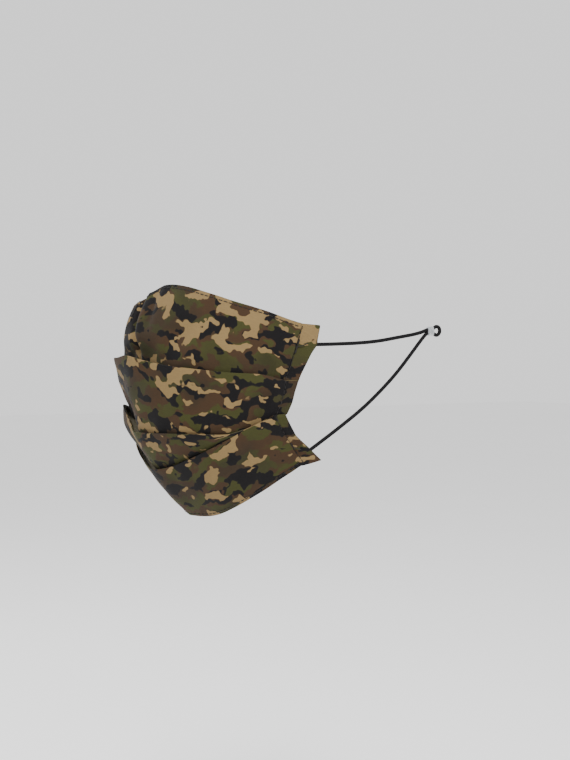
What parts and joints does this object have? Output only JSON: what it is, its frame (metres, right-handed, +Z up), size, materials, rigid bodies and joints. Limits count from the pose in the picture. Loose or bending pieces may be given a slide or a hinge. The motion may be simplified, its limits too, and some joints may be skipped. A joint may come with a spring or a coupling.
{
  "type": "face mask",
  "caption": "Pleated cloth face mask in woodland camouflage cotton with round black ear elastics and cord stoppers, in its worn shape.",
  "frame": {"origin": "middle of the face opening, on the plane between the side hems' fronts", "axes": "+Z up, -Y the way the wearer looks, +X the wearer's left; +Y points from the mask to the wearer's head"},
  "size_m": [0.151, 0.1605, 0.1288],
  "materials": {
    "camo_cotton": "matte plain weave, woodland camouflage print",
    "filter_cloth": "matte nonwoven",
    "lining_cotton": "matte plain weave",
    "nose_wire": "satin",
    "thread": "matte twisted thread",
    "black_elastic": "matte braided cover",
    "clear_silicone": "translucent, satin"
  },
  "bodies": {
    "mask": {"nose_panel_outer": "camo_cotton", "nose_panel_filter": "filter_cloth", "nose_panel_lining": "lining_cotton", "cheek_panel_outer": "camo_cotton", "cheek_panel_filter": "filter_cloth", "cheek_panel_lining": "lining_cotton", "mouth_panel_outer": "camo_cotton", "mouth_panel_filter": "filter_cloth", "mouth_panel_lining": "lining_cotton", "nose_wire": "nose_wire", "top_edge_stitch": "thread", "left_hem_upper": "camo_cotton", "left_bar_tack_upper": "thread", "right_hem_upper": "camo_cotton", "right_bar_tack_upper": "thread"},
    "chin_flap": {"chin_panel_outer": "camo_cotton", "chin_panel_filter": "filter_cloth", "chin_panel_lining": "lining_cotton", "bottom_edge_stitch": "thread", "left_hem_lower": "camo_cotton", "left_bar_tack_lower": "thread", "right_hem_lower": "camo_cotton", "right_bar_tack_lower": "thread"},
    "left_loop": {"left_ear_elastic": "black_elastic"},
    "right_loop": {"right_ear_elastic": "black_elastic"},
    "left_stopper": {"left_cord_stopper": "clear_silicone"},
    "right_stopper": {"right_cord_stopper": "clear_silicone"}
  },
  "joints": [
    {"name": "chin_flap_open", "type": "hinge", "parent": "mask", "child": "chin_flap", "pos_m": [0, -0.0105, -0.0089], "axis": [1, 0, 0], "range_deg": [0, 7]},
    {"name": "left_loop_swing", "type": "hinge", "parent": "mask", "child": "left_loop", "pos_m": [0.0652, 0.01005, 0.0014], "axis": [0.007, 0.065, 0.9979], "range_deg": [-25, 70]},
    {"name": "right_loop_swing", "type": "hinge", "parent": "mask", "child": "right_loop", "pos_m": [-0.0652, 0.01005, 0.0014], "axis": [-0.007, 0.065, 0.9979], "range_deg": [-70, 25]},
    {"name": "left_stopper_slide", "type": "slide", "parent": "left_loop", "child": "left_stopper", "axis": [-0.1186, -0.988, -0.0988], "range_m": [0, 0.01], "deforming": ["left_ear_elastic"]},
    {"name": "right_stopper_slide", "type": "slide", "parent": "right_loop", "child": "right_stopper", "axis": [0.1186, -0.988, -0.0988], "range_m": [0, 0.01], "deforming": ["right_ear_elastic"]}
  ]
}
